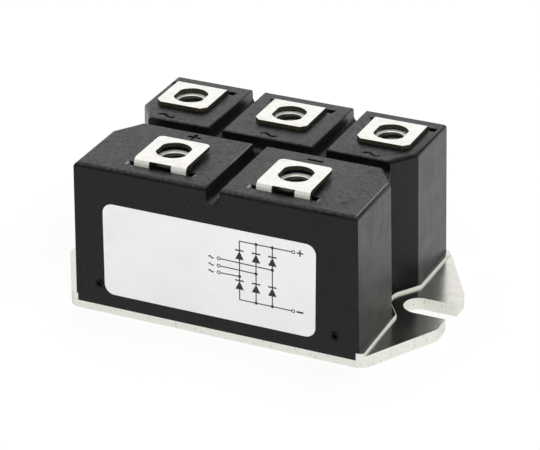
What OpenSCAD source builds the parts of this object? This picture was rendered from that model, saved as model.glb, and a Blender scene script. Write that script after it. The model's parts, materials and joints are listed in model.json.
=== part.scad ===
// Three-phase bridge rectifier module with five M5 screw terminals.
// Millimetres, +Z up. The origin is the centre of the base plate's underside,
// +X runs along the module and -Y is the side of the label and the DC terminals.

/* [Housing] */
// Length of the housing at its foot
housing_length = 54.4; // [52:0.4:60]
// Width of the housing at its foot
housing_width = 41.6; // [41:0.2:46]
// Height of the top face above the mounting plane
housing_top = 28.3; // [27:0.1:34]
// Amount that every outer wall leans in from foot to top
draft = 0.5; // [0.1:0.05:0.7]
// Rounding of the top edges
edge_radius = 0.9; // [0.5:0.1:1.2]
// Rounding of the upright corners
corner_radius = 0.5; // [0.3:0.1:1.2]
// Thickness of the side walls
wall = 1.8; // [1.4:0.1:2]
// Thickness of the deck between the screw wells and the cavity
roof = 2.2; // [1.5:0.1:3]

/* [Screw recesses and creepage grooves] */
// Depth of the recess at each end, above the mounting screw
recess_depth = 3.25; // [2:0.05:3.4]
// Width of that recess at its mouth
recess_mouth = 12.3; // [9:0.1:14]
// Width of the trench between the two terminal rows
trench_width = 2.8; // [2.4:0.1:3.2]
// Depth of that trench
trench_depth = 2.8; // [2:0.1:4]
// Distance of the trench and both recesses behind the middle of the module
trench_offset = 0.4; // [0:0.1:0.6]
// Width of the grooves between neighbouring terminals
groove_width = 2.6; // [1.8:0.1:3]
// Depth of those grooves
groove_depth = 3; // [2:0.1:4]
// Rounding of the edges of trench and grooves
groove_edge = 0.4; // [0.2:0.1:0.8]
// Distance of the rear grooves from the ends of the housing
groove_margin = 17.15; // [16.4:0.05:17.4]

/* [Base plate] */
// Length of the plate over both ears
plate_length = 72; // [71:0.5:80]
// Thickness of the plate at its ears
plate_thickness = 2.3; // [2:0.1:3]
// Height of the ledge that the housing's skirt stands on
ledge_height = 1.4; // [1:0.1:1.8]
// Width of that ledge
ledge_width = 1.2; // [0.8:0.1:1.6]
// Distance between the two mounting screws
screw_pitch = 60; // [59.6:0.1:61]
// Width of the mounting slots
slot_width = 5.6; // [5.2:0.1:6]
// Width of an ear at its tip
ear_width = 13.4; // [12:0.2:16]
// Rounding of the ear tips
ear_radius = 2.2; // [1:0.1:2.6]
// Width of the raised lip around the ends of the housing
lip_width = 0.8; // [0.5:0.1:1]
// Height of that lip above the ears
lip_height = 0.5; // [0.3:0.1:0.8]
// Radius of the lip where it turns into the screw recess
lip_curve = 3; // [1:0.2:4]

/* [Terminals] */
// Distance of the DC terminals from the ends of the housing
dc_margin = 15.6; // [14.6:0.1:16]
// Distance of the outer AC terminals from the ends of the housing
ac_margin = 7.6; // [7.4:0.1:8.4]
// Distance of both rows of screws from the sides of the housing
row_margin = 9.3; // [9.2:0.1:9.8]
// Sheet thickness of the terminals
sheet = 0.8; // [0.6:0.05:1]
// Inner radius of their bends
bend = 0.2; // [0.2:0.05:0.5]
// Width of a terminal tab
tab_width = 10; // [9:0.1:10.6]
// Screw axis to the outer face of the leg
tab_root = 5.5; // [5.3:0.1:6]
// Screw axis to the free edge of the tab
tab_nose = 4.6; // [4:0.1:5]
// Corner cut or rounding at the free edge
tab_corner = 1; // [0.5:0.1:1.4]
// Gap that springback leaves under the front tabs
front_lift = 0.45; // [0.1:0.05:0.8]
// Diameter of the screw hole in a tab
hole_diameter = 6.3; // [5.8:0.1:6.6]
// Distance between the two flats of that hole
hole_flats = 5.6; // [5.3:0.05:5.8]
// Width of the window in the bend
window_width = 4.2; // [3:0.1:5]
// Depth of the window below the top face
window_depth = 2; // [1:0.1:3]
// Width of the leg inside the module
leg_width = 3.6; // [3:0.1:3.6]
// Length of the soldered foot
foot_length = 4; // [3:0.1:4.5]
// Height of the run of the minus leg above the mounting plane
run_height = 8; // [7.5:0.1:9]
// Free space on each side of a leg, along the slot
slot_side = 0.9; // [0.4:0.1:1]
// Free space behind the leg, on the screw's side
slot_inner = 0.2; // [0.1:0.05:0.3]
// Free space on the outer side of the leg
slot_outer = 0.4; // [0.2:0.05:0.6]
// Width of the bevel at both ends of a leg's slot
slot_bevel = 0.7; // [0.3:0.1:0.7]

/* [M5 nuts] */
// Width of a nut across its flats
nut_flats = 8; // [7.8:0.05:8.2]
// Thickness of a nut
nut_height = 4; // [3.5:0.1:4.7]
// Core diameter of its thread
nut_core = 4.2; // [4.1:0.05:4.4]
// Diameter of the countersink at both ends of the thread
nut_sink = 5.3; // [5.1:0.1:5.5]
// Depth of the nut below the top face
nut_recess = 0.3; // [0.1:0.05:0.6]
// Play between nut and pocket, on each side
nut_play = 0.1; // [0.05:0.05:0.15]
// Diameter of the screw well under the nut
well_diameter = 6; // [5.4:0.1:6.6]
// Depth of that well
well_depth = 5.5; // [4:0.5:6]

/* [Substrate and chips] */
// Thickness of the ceramic
ceramic = 0.63; // [0.38:0.01:1]
// Thickness of each copper layer
copper = 0.3; // [0.2:0.05:0.4]
// Room for the legs between the ceramic and the side walls
ceramic_side = 3.5; // [3:0.1:4]
// Play between the ceramic and the end walls
ceramic_play = 0.35; // [0.2:0.05:0.5]
// Bare rim of the ceramic around its copper
bare_rim = 0.4; // [0.2:0.1:0.5]
// Gap between two copper pads
pad_gap = 0.6; // [0.4:0.1:0.8]
// Side of a diode chip
chip = 6.5; // [5:0.1:7]
// Thickness of a chip
chip_thickness = 0.3; // [0.25:0.05:0.4]
// Sheet thickness of the clips
clip_sheet = 0.4; // [0.3:0.05:0.5]
// Width of a clip
clip_width = 3; // [2:0.1:3.2]
// Length of a clip's landing on a chip
clip_landing = 3.2; // [2.6:0.1:4]
// Rise of the clip between two landings
clip_rise = 1.4; // [1.2:0.1:1.8]
// Depth of the gel above the base plate
gel_depth = 7.7; // [7.7:0.1:9]

/* [Label] */
// Width of the label
label_width = 40.4; // [36:0.2:44]
// Height of the label
label_height = 17.6; // [14:0.2:20]
// Distance of its centre from the middle of the front
label_x = -1; // [-3:0.1:3]
// Height of its centre above the mounting plane
label_z = 12.8; // [12:0.1:15]
// Rounding of its corners
label_radius = 1.9; // [0.5:0.1:3]
// Thickness of the label
label_thickness = 0.12; // [0.08:0.01:0.2]

/* [Hidden] */
$fn = 48;
thin = 0.001;    // thickness of a slice inside a hull
past = 1;        // how far a cut runs past the face it opens

groove_x = housing_length/2 - groove_margin;
front_x = housing_length/2 - dc_margin;
rear_x = housing_length/2 - ac_margin;
row_y = housing_width/2 - row_margin;

// Terminals: name, distance along X, row (-1 front, 1 rear)
TERMINALS = [["plus", -front_x, -1], ["minus", front_x, -1],
    ["ac1", -rear_x, 1], ["ac2", 0, 1], ["ac3", rear_x, 1]];

recess_floor_x = housing_length/2 - recess_depth;
row_inner_x = recess_floor_x - 2*recess_depth*trench_width/(recess_mouth - trench_width);
nut_seat_z = housing_top - nut_recess - nut_height;
well_floor_z = nut_seat_z - well_depth;
cavity_top_z = well_floor_z - roof;

leg_outer_y = row_y + tab_root;
leg_y = leg_outer_y - sheet/2;
slot_from_y = leg_outer_y - sheet - slot_inner;
slot_to_y = leg_outer_y + slot_outer;
shoulder_z = cavity_top_z + roof/2;

ceramic_z = plate_thickness + copper;
pad_z = ceramic_z + ceramic;
pad_top_z = pad_z + copper;
chip_top_z = pad_top_z + chip_thickness;
ceramic_length = 2*(recess_floor_x - wall - ceramic_play);
ceramic_width = housing_width - 2*(wall + ceramic_side);
pads_length = ceramic_length - 2*bare_rim;
pads_width = ceramic_width - 2*bare_rim;
pad_depth = (pads_width - 2*pad_gap)/3;
minus_pad_y = 0;
ac_pad_y = pad_depth + pad_gap;
plus_pad_y = -ac_pad_y;
ac_pad_length = (pads_length - 2*pad_gap)/3;
chip_x = (pads_length - chip)/2 - bare_rim;
CHIPS = [for (y = [plus_pad_y, minus_pad_y], i = [-1:1]) [i*chip_x, y]];

// ---------- outlines ----------

// One terminal row of the housing, seen from above; side is -1 in front, 1 behind
// and both rows overlap under the trench
module row_outline(side) {
    mouth_y = trench_offset + side*recess_mouth/2;
    inner_y = trench_offset - side*trench_width/2;
    offset(r = corner_radius) offset(delta = -corner_radius)
        polygon([
            [-housing_length/2, side*housing_width/2], [-housing_length/2, mouth_y],
            [-row_inner_x, inner_y], [row_inner_x, inner_y],
            [housing_length/2, mouth_y], [housing_length/2, side*housing_width/2]]);
}

// The web that closes both recesses under the trench
module web_outline()
    translate([0, trench_offset])
        square([2*recess_floor_x, trench_width + 2*past], center = true);

module footprint() {
    row_outline(-1);
    row_outline(1);
    web_outline();
}

module plate_outline()
    offset(r = ear_radius) offset(delta = -ear_radius)
        for (side = [-1, 1])
            scale([side, 1])
                polygon([
                    [0, -housing_width/2], [housing_length/2 + lip_width, -housing_width/2],
                    [plate_length/2, -ear_width/2], [plate_length/2, ear_width/2],
                    [housing_length/2 + lip_width, housing_width/2], [0, housing_width/2]]);

// The two strips along the long sides where plate and housing overlap in height
module ledge_outline()
    intersection() {
        footprint();
        for (side = [-1, 1])
            translate([0, side*(housing_width - ledge_width)/2])
                square([plate_length, ledge_width], center = true);
    }

module rounded_rectangle(w, h, r) {
    square([w - 2*r, h], center = true);
    square([w, h - 2*r], center = true);
    for (x = [-1, 1], y = [-1, 1])
        translate([x*(w/2 - r), y*(h/2 - r)]) circle(r);
}

// ---------- bent sheet ----------

function unit(v) = v/norm(v);

// Points of a centre line through p, with every right-angled corner rounded to r
function rounded_path(p, r, steps = 6) = [
    p[0],
    for (i = [1:1:len(p) - 2])
        let (u = unit(p[i] - p[i - 1]), v = unit(p[i + 1] - p[i]))
            for (k = [0:steps])
                p[i] + r*(v - u + sin(90*k/steps)*u - cos(90*k/steps)*v),
    p[len(p) - 1]];

function side_step(p, i) =
    let (d = unit(p[min(i + 1, len(p) - 1)] - p[max(i - 1, 0)])) [-d.y, d.x];

// Strip of sheet of thickness t and width w: path is its centre line in the YZ plane
module bent_strip(path, t, w, r) {
    line = rounded_path(path, r + t/2);
    last = len(line) - 1;
    edge = [for (i = [0:last]) line[i] + side_step(line, i)*t/2];
    back = [for (i = [last:-1:0]) line[i] - side_step(line, i)*t/2];
    rotate([90, 0, 90])
        linear_extrude(w, center = true) polygon(concat(edge, back));
}

// ---------- housing ----------

// Solid with drafted walls from z0 to z1 over a convex outline; its top edge is rounded to r
module drafted(z0, z1, r) {
    function inset(z) = draft*(z - ledge_height)/(housing_top - ledge_height);
    hull() {
        translate([0, 0, z0])
            linear_extrude(thin) offset(delta = -inset(z0)) children();
        for (a = [0:18:90])
            translate([0, 0, z1 - thin - r + r*sin(a)])
                linear_extrude(thin) offset(delta = -inset(z1) - r*(1 - cos(a))) children();
    }
}

// Groove along Y: full radius at the bottom, rounded edges at the top
module groove(length, width, depth)
    rotate([90, 0, 0])
        linear_extrude(length, center = true) {
            translate([0, housing_top - depth + width/2]) circle(d = width);
            translate([-width/2, housing_top - depth + width/2]) square([width, depth + past]);
            difference() {
                translate([-width/2 - groove_edge, housing_top - groove_edge])
                    square([width + 2*groove_edge, groove_edge + past]);
                for (side = [-1, 1])
                    translate([side*(width/2 + groove_edge), housing_top - groove_edge])
                        circle(groove_edge);
            }
        }

module grooves() {
    translate([0, trench_offset, 0]) rotate(90) groove(housing_length, trench_width, trench_depth);
    for (g = [[0, -1], [-groove_x, 1], [groove_x, 1]])
        translate([g[0], trench_offset + g[1]*housing_width/2, 0])
            groove(housing_width, groove_width, groove_depth);
}

// Moves a child from the frame of a terminal, +Y outwards, to its place
module at_terminal(t) translate([t[1], 0, 0]) rotate(t[2] < 0 ? 180 : 0) children();

// Hexagonal pocket, screw well and leg slot of one terminal
module terminal_cuts() {
    translate([0, row_y, nut_seat_z])
        cylinder(d = (nut_flats + 2*nut_play)/cos(30), h = housing_top, $fn = 6);
    translate([0, row_y, well_floor_z]) cylinder(d = well_diameter, h = housing_top);
    slot_half = tab_width/2 + slot_side;
    translate([0, slot_to_y, 0]) rotate([90, 0, 0])
        linear_extrude(slot_to_y - slot_from_y)
            polygon([[-slot_half, cavity_top_z - past], [slot_half, cavity_top_z - past],
                [slot_half, housing_top - slot_bevel/2],
                [slot_half + slot_bevel + 2*past, housing_top + past],
                [-slot_half - slot_bevel - 2*past, housing_top + past],
                [-slot_half, housing_top - slot_bevel/2]]);
}

module cavity(height)
    translate([0, 0, plate_thickness])
        linear_extrude(height) offset(delta = -wall) footprint();

module housing() color([0.12, 0.12, 0.13]) difference() {
    union() {
        for (side = [-1, 1])
            drafted(ledge_height, housing_top, edge_radius) row_outline(side);
        drafted(ledge_height, housing_top, edge_radius) web_outline();
    }
    translate([-plate_length/2, ledge_width - housing_width/2, ledge_height - past])
        cube([plate_length, housing_width - 2*ledge_width, plate_thickness - ledge_height + past]);
    cavity(cavity_top_z - plate_thickness);
    grooves();
    for (t = TERMINALS) at_terminal(t) terminal_cuts();
}

// ---------- base plate ----------

// Open slot for a mounting screw, towards +X
module mounting_slot() {
    translate([screw_pitch/2, 0, -past]) cylinder(d = slot_width, h = plate_thickness + 2*past);
    translate([screw_pitch/2, -slot_width/2, -past])
        cube([plate_length, slot_width, plate_thickness + 2*past]);
}

module lip()
    translate([0, 0, plate_thickness])
        linear_extrude(lip_height) difference() {
            intersection() {
                plate_outline();
                offset(r = -lip_curve) offset(r = lip_curve + lip_width) footprint();
            }
            footprint();
        }

module base_plate() color([0.78, 0.78, 0.76]) {
    difference() {
        linear_extrude(plate_thickness) plate_outline();
        translate([0, 0, ledge_height]) linear_extrude(plate_thickness) ledge_outline();
        for (turn = [0, 180]) rotate(turn) mounting_slot();
    }
    lip();
}

// ---------- label ----------

module label() color([0.9, 0.91, 0.9])
    translate([label_x, -housing_width/2, ledge_height])
        rotate([-atan(draft/(housing_top - ledge_height)), 0, 0])
            translate([0, 0, label_z - ledge_height]) rotate([90, 0, 0])
                linear_extrude(label_thickness)
                    rounded_rectangle(label_width, label_height, label_radius);

// ---------- terminals ----------

module tab_outline(side)
    difference() {
        translate([-tab_width/2, row_y - tab_nose]) square([tab_width, housing_width]);
        for (end = [-1, 1])
            translate([end*tab_width/2, row_y - tab_nose]) scale([-end, 1])
                difference() {
                    translate([-past, -past]) square(tab_corner + past);
                    if (side < 0) translate([tab_corner, tab_corner]) circle(tab_corner);
                    else polygon([[tab_corner, 0], [tab_corner, tab_corner], [0, tab_corner]]);
                }
    }

// Window in the bend, cut square to the sheet halfway round it; centre_z is the bend's centre
module window(centre_z) {
    y = leg_y - sheet/2 - bend;
    reach = 2*sheet + 2*bend;
    rotate([90, 0, 90])
        linear_extrude(window_width, center = true)
            polygon([[y, centre_z], [y + reach, centre_z + reach],
                [y + reach, housing_top - window_depth], [y, housing_top - window_depth]]);
}

// One terminal in its own frame, +Y outwards: tab, bend with its window, leg and soldered foot
module terminal(t, down) {
    lift = t[2] < 0 ? front_lift : 0;
    tab_z = housing_top + lift + sheet/2;
    color([0.8, 0.8, 0.78]) at_terminal(t) {
        difference() {
            bent_strip([[row_y - tab_nose, tab_z], [leg_y, tab_z], [leg_y, shoulder_z]],
                sheet, tab_width, bend);
            difference() {
                translate([-tab_width, 0, housing_top]) cube([2*tab_width, leg_y - bend, housing_top]);
                linear_extrude(2*housing_top) tab_outline(t[2]);
            }
            translate([0, row_y, housing_top - past])
                intersection() {
                    cylinder(d = hole_diameter, h = 2*sheet + 2*past);
                    translate([-hole_flats/2, -hole_diameter, 0])
                        cube([hole_flats, 2*hole_diameter, 2*sheet + 2*past]);
                }
            window(tab_z - sheet/2 - bend);
        }
        bent_strip(concat([[leg_y, shoulder_z]], down), sheet, leg_width, bend);
    }
}

// Way of a leg from the shoulder straight down to a foot on the nearest pad
function straight_down() = [[leg_y, pad_top_z + sheet/2],
    [leg_y - sheet/2 - bend - foot_length, pad_top_z + sheet/2]];

// Way of the minus leg, over the plus pad to the pad behind it
function over_plus_pad() =
    let (drop_y = -minus_pad_y + foot_length/2, foot_z = pad_top_z + sheet/2)
        [[leg_y, run_height], [drop_y, run_height], [drop_y, foot_z], [drop_y - foot_length, foot_z]];

module terminal_plus() terminal(TERMINALS[0], straight_down());
module terminal_minus() terminal(TERMINALS[1], over_plus_pad());
module terminal_ac(i) terminal(TERMINALS[1 + i], straight_down());

// ---------- nuts ----------

// Hexagon nut with chamfered corners and a countersunk thread core
module nut(t) color([0.72, 0.72, 0.7])
    at_terminal(t) translate([0, row_y, nut_seat_z]) {
        corner = nut_flats/cos(30);
        bevel = (corner - nut_flats)/2*tan(30);
        sink = (nut_sink - nut_core)/2;
        difference() {
            intersection() {
                cylinder(d = corner, h = nut_height, $fn = 6);
                rotate_extrude() polygon([[0, 0], [nut_flats/2, 0], [corner/2, bevel],
                    [corner/2, nut_height - bevel], [nut_flats/2, nut_height], [0, nut_height]]);
            }
            translate([0, 0, -past]) cylinder(d = nut_core, h = nut_height + 2*past);
            cylinder(d1 = nut_sink, d2 = nut_core, h = sink);
            translate([0, 0, nut_height - sink]) cylinder(d1 = nut_core, d2 = nut_sink, h = sink);
        }
    }

// ---------- substrate and chips ----------

module ceramic_plate() color([0.93, 0.93, 0.9])
    translate([-ceramic_length/2, -ceramic_width/2, ceramic_z])
        cube([ceramic_length, ceramic_width, ceramic]);

// Copper area on one side of the ceramic, centred on the given point of its underside
module copper_area(centre, length, depth) color([0.8, 0.5, 0.32])
    translate(centre - [length/2, depth/2, 0]) cube([length, depth, copper]);

module bottom_copper() copper_area([0, 0, plate_thickness], pads_length, pads_width);
module plus_pad() copper_area([0, plus_pad_y, pad_z], pads_length, pad_depth);
module minus_pad() copper_area([0, minus_pad_y, pad_z], pads_length, pad_depth);
module ac_pad(i)
    copper_area([(i - 2)*(ac_pad_length + pad_gap), ac_pad_y, pad_z], ac_pad_length, pad_depth);

module diode(i) color([0.35, 0.36, 0.4])
    translate([CHIPS[i - 1].x - chip/2, CHIPS[i - 1].y - chip/2, pad_top_z])
        cube([chip, chip, chip_thickness]);

// Clip from the top of a plus chip over a minus chip to the AC pad behind them
module phase_clip(i) {
    low = chip_top_z + clip_sheet/2;
    high = low + clip_rise;
    half = clip_landing/2;
    ac_y = ac_pad_y - pad_depth/2 + 2*clip_sheet;
    color([0.8, 0.5, 0.32])
        translate([(i - 2)*chip_x, 0, 0])
            bent_strip([[plus_pad_y - half, low], [plus_pad_y + half, low], [plus_pad_y + half, high],
                [minus_pad_y - half, high], [minus_pad_y - half, low], [minus_pad_y + half, low],
                [minus_pad_y + half, high], [ac_y, high], [ac_y, pad_top_z + clip_sheet/2],
                [ac_y + half, pad_top_z + clip_sheet/2]], clip_sheet, clip_width, clip_sheet/2);
}

// Soft gel that fills the bottom of the cavity around everything soldered down there
module gel() color([0.75, 0.85, 0.85, 0.6]) difference() {
    cavity(gel_depth);
    ceramic_plate();
    bottom_copper();
    plus_pad();
    minus_pad();
    for (i = [1:3]) ac_pad(i);
    for (i = [1:6]) diode(i);
    for (i = [1:3]) phase_clip(i);
    terminal_plus();
    terminal_minus();
    for (i = [1:3]) terminal_ac(i);
}

// ---------- the part ----------

housing();
base_plate();
label();
terminal_plus();
terminal_minus();
for (i = [1:3])
    terminal_ac(i);
for (t = TERMINALS)
    nut(t);
ceramic_plate();
bottom_copper();
plus_pad();
minus_pad();
for (i = [1:3])
    ac_pad(i);
for (i = [1:6])
    diode(i);
for (i = [1:3])
    phase_clip(i);
gel();
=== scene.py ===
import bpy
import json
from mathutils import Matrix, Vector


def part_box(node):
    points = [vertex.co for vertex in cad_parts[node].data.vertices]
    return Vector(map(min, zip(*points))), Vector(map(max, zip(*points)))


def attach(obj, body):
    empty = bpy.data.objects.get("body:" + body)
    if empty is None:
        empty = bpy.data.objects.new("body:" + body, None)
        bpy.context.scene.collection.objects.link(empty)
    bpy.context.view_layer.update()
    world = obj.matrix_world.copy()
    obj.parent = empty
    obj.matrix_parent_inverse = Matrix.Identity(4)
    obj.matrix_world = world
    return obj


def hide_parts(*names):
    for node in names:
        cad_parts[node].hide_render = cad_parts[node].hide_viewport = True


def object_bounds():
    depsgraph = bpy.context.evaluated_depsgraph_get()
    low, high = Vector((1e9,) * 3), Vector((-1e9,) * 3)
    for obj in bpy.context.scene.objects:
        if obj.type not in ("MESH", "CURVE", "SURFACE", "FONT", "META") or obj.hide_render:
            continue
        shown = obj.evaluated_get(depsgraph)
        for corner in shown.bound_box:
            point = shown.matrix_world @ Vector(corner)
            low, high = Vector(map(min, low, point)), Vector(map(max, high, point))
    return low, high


bl_info = {
    "name": "Bridge Rectifier",
    "version": (1, 0, 0),
    "blender": (4, 5, 0),
    "location": "View3D > Sidebar > Rectifier",
    "description": "Dresses the frame of a three-phase bridge rectifier and sets its stage",
    "category": "Object",
}

import json
import math
import random

import bmesh
import bpy
from mathutils import Matrix, Vector

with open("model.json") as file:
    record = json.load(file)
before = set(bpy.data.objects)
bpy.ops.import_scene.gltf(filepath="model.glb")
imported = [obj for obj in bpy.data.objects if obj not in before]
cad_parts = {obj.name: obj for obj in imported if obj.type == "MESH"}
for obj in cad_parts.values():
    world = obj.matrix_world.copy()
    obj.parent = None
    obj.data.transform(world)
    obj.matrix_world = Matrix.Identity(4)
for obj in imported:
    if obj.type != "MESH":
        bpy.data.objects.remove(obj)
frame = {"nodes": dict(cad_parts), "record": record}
CAD_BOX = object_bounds()

MM = 0.001
WHITE = (1.0, 1.0, 1.0)
LEGS = ("plus", "minus", "ac1", "ac2", "ac3")
HOUSING_LOW, HOUSING_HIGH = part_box("housing")
LABEL_LOW, LABEL_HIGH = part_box("label")
LABEL_THICKNESS = 0.12 * MM    # film and print together
LABEL_CORNER = 1.9 * MM
INK_SINK = 0.004 * MM          # how far the print reaches into the film
THREAD_CORE = 2.1 * MM         # inner radius of the nuts' threads
NUT_MOUTH = 2.65 * MM          # outer radius of their countersinks
NUT_LAND = 3.3 * MM            # outer radius of the bright land round each countersink; outside it the nut is painted dark as shade
WELD = 0.002 * MM              # corners of a CAD node closer than this are one
FLAT_WIDTH = 0.9 * MM          # faces wider than this keep a normal of their own


# ---------- what a user can change ----------

def length(name, description, default, low, high):
    """A length property, in metres, with its default and limits given in millimetres."""
    return bpy.props.FloatProperty(
        name=name, description=description, default=default * MM, min=low * MM, max=high * MM,
        subtype="DISTANCE", unit="LENGTH", precision=5)


def colour(name, description, default):
    """A colour property without alpha."""
    return bpy.props.FloatVectorProperty(
        name=name, description=description, default=default, min=0.0, max=1.0, size=3,
        subtype="COLOR")


class RectifierSizes(bpy.types.PropertyGroup):
    """Sizes of what is finer than the frame's solids"""

    mark_depth: length("Mark depth", "How deep the polarity marks are sunk", 0.28, 0.05, 0.6)
    mark_stroke: length("Mark stroke", "Width of the strokes of the polarity marks", 0.65, 0.2, 1.0)
    scar_size: length("Gate scar", "Diameter of the gate scars on the label side", 1.7, 0.8, 3.0)
    plate_edge: length("Plate edge", "Rounding of the base plate's stamped edges", 0.22, 0.05, 0.35)
    lip_edge: length("Lip edge", "Rounding along the top of the base plate's lip", 0.38, 0.05, 0.39)
    tab_edge: length("Tab edge", "Rounding of the terminals' stamped edges", 0.11, 0.02, 0.15)
    thread_pitch: length("Thread pitch", "Pitch of the thread in the nuts", 0.8, 0.4, 1.0)
    thread_depth: length("Thread depth", "Radial depth of the thread's turns", 0.4, 0.1, 0.45)
    line_width: length("Line width", "Width of the printed lines", 0.2, 0.1, 0.5)
    ink_height: length("Ink height", "How far the print stands on the label", 0.012, 0.004, 0.016)


class RectifierColours(bpy.types.PropertyGroup):
    """Colours of the finishes"""

    moulding: colour("Moulding", "Black filled plastic of the housing", (0.0032, 0.0032, 0.0034))
    nickel: colour("Nickel", "Plating of the base plate", (0.79, 0.78, 0.73))
    tin: colour("Tin", "Plating of the terminals", (0.98, 0.97, 0.93))
    edge: colour("Upright plating", "Duller plating on upright faces", (0.94, 0.945, 0.87))
    # near-black of cut faces: partly the tarnish of the terminals' cut edges, partly painted shade
    # in their holes and in the gap under their tabs
    tarnish_and_painted_shade: colour("Sheared edge", "Tarnish where the terminals were cut", (0.04, 0.037, 0.02))
    zinc: colour("Zinc", "Plating of the nuts", (0.94, 0.94, 0.9))
    film: colour("Label film", "Pale film of the label", (0.84, 0.855, 0.84))
    ink: colour("Ink", "Print on the label", (0.02, 0.02, 0.022))
    alumina: colour("Alumina", "White ceramic of the substrate", (0.86, 0.85, 0.80))
    copper: colour("Copper", "Pads and clips inside", (0.86, 0.46, 0.30))
    silicon: colour("Silicon", "Diode chips", (0.22, 0.23, 0.27))
    gel: colour("Gel", "Soft filling of the cavity", (0.72, 0.80, 0.80))


class RectifierStage(bpy.types.PropertyGroup):
    """Camera, floor and light"""

    azimuth: bpy.props.FloatProperty(
        name="Azimuth", description="Direction the camera looks from, round the part",
        default=math.radians(24.89), subtype="ANGLE", unit="ROTATION")
    elevation: bpy.props.FloatProperty(
        name="Elevation", description="Height of the camera above the horizon",
        default=math.radians(27.04), subtype="ANGLE", unit="ROTATION")
    roll: bpy.props.FloatProperty(
        name="Roll", description="Tilt of the camera about its own axis",
        default=math.radians(-0.55), subtype="ANGLE", unit="ROTATION")
    distance: length("Distance", "From the camera to the point it looks at", 455.3, 100, 3000)
    lens: bpy.props.FloatProperty(
        name="Lens", description="Focal length for a sensor 36 mm wide, in millimetres",
        default=171.6, min=20.0, max=400.0)
    target: bpy.props.FloatVectorProperty(
        name="Target", description="Point the camera looks at",
        default=(2.27 * MM, -2.16 * MM, 13.5 * MM), size=3, subtype="TRANSLATION", unit="LENGTH")
    ambience: bpy.props.FloatProperty(
        name="Ambience", description="Strength of the white surroundings on dull surfaces",
        default=0.62, min=0.0, max=2.0)
    lamps: bpy.props.FloatProperty(
        name="Lamps", description="Strength of the soft boxes",
        default=1.0, min=0.0, max=4.0)


# ---------- materials ----------

def feed(tree, node, *values, **named):
    """Links or sets a node's inputs: values in order, the others by name with _ for a space."""
    pairs = list(zip(node.inputs, values))
    pairs += [(node.inputs[name.replace("_", " ")], value) for name, value in named.items()]
    for socket, value in pairs:
        if isinstance(value, bpy.types.NodeSocket):
            tree.links.new(value, socket)
        else:
            socket.default_value = (*value, 1.0) if socket.type == "RGBA" else value
    return node


def add_node(tree, kind, *values, **named):
    """A new node: names in lower case are its settings, and the rest feeds its inputs."""
    node = tree.nodes.new(kind)
    for name in [name for name in named if name.islower()]:
        setattr(node, name, named.pop(name))
    return feed(tree, node, *values, **named)


def finish(name, base, roughness, metallic=0.0, specular=0.5):
    """A material with its plain values on the shader's own sockets, its tree and its shader."""
    material = bpy.data.materials.new(f"{name}_finish")
    material.use_nodes = True
    material.diffuse_color = (*base, 1.0)
    shader = material.node_tree.nodes["Principled BSDF"]
    feed(material.node_tree, shader, Base_Color=base, Roughness=roughness, Metallic=metallic,
         Specular_IOR_Level=specular)
    return material, material.node_tree, shader


def grain(tree, size, detail=2.0, stretch=(1.0, 1.0, 1.0)):
    """Noise on Object coordinates; its lumps are about size, longer where stretch is below 1."""
    place = add_node(tree, "ShaderNodeTexCoord").outputs["Object"]
    scaled = add_node(tree, "ShaderNodeVectorMath", place, stretch, operation="MULTIPLY")
    return add_node(tree, "ShaderNodeTexNoise", Vector=scaled.outputs["Vector"],
                    Scale=1.0 / size, Detail=detail).outputs["Fac"]


def spread(tree, value, low=0.0, high=1.0, start=0.35, end=0.65):
    """Maps a value between start and end to low and high."""
    return add_node(tree, "ShaderNodeMapRange", value, start, end, low, high).outputs["Result"]


def blended(tree, share, first, second):
    """Colour between two others; each is a colour or a socket."""
    return add_node(tree, "ShaderNodeMix", data_type="RGBA", Factor=share,
                    A=first, B=second).outputs["Result"]


def added(tree, first, second, share):
    """First plus second times share."""
    return add_node(tree, "ShaderNodeMath", second, share, first,
                    operation="MULTIPLY_ADD").outputs["Value"]


def dented(tree, shader, height, depth, strength):
    """Bump of the given depth in metres on a shader."""
    bump = add_node(tree, "ShaderNodeBump", Strength=strength, Distance=depth, Height=height)
    feed(tree, shader, Normal=bump.outputs["Normal"])


def painted(tree, name):
    """What a mesh attribute of this name says at each corner, from 0 to 1."""
    return add_node(tree, "ShaderNodeAttribute", attribute_name=name).outputs["Fac"]


def tinted(base, factor):
    """A colour made lighter or darker by a factor, up to white."""
    return tuple(min(1.0, c * factor) for c in base)


def upright(tree, start=0.35, end=0.85):
    """1 on faces that stand upright, 0 on level ones; start and end say how level, from 0 to 1."""
    normal = add_node(tree, "ShaderNodeNewGeometry").outputs["Normal"]
    lift = add_node(tree, "ShaderNodeSeparateXYZ", normal).outputs["Z"]
    level = add_node(tree, "ShaderNodeMath", lift, operation="ABSOLUTE").outputs["Value"]
    return spread(tree, level, 1.0, 0.0, start, end)


def mottled(tree, shader, base, noise, tints, gloss):
    """Lets a noise take a shader from one tint of base and one roughness to the others."""
    shade = blended(tree, spread(tree, noise), *(tinted(base, tint) for tint in tints))
    feed(tree, shader, Base_Color=shade, Roughness=spread(tree, noise, *gloss))


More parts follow.
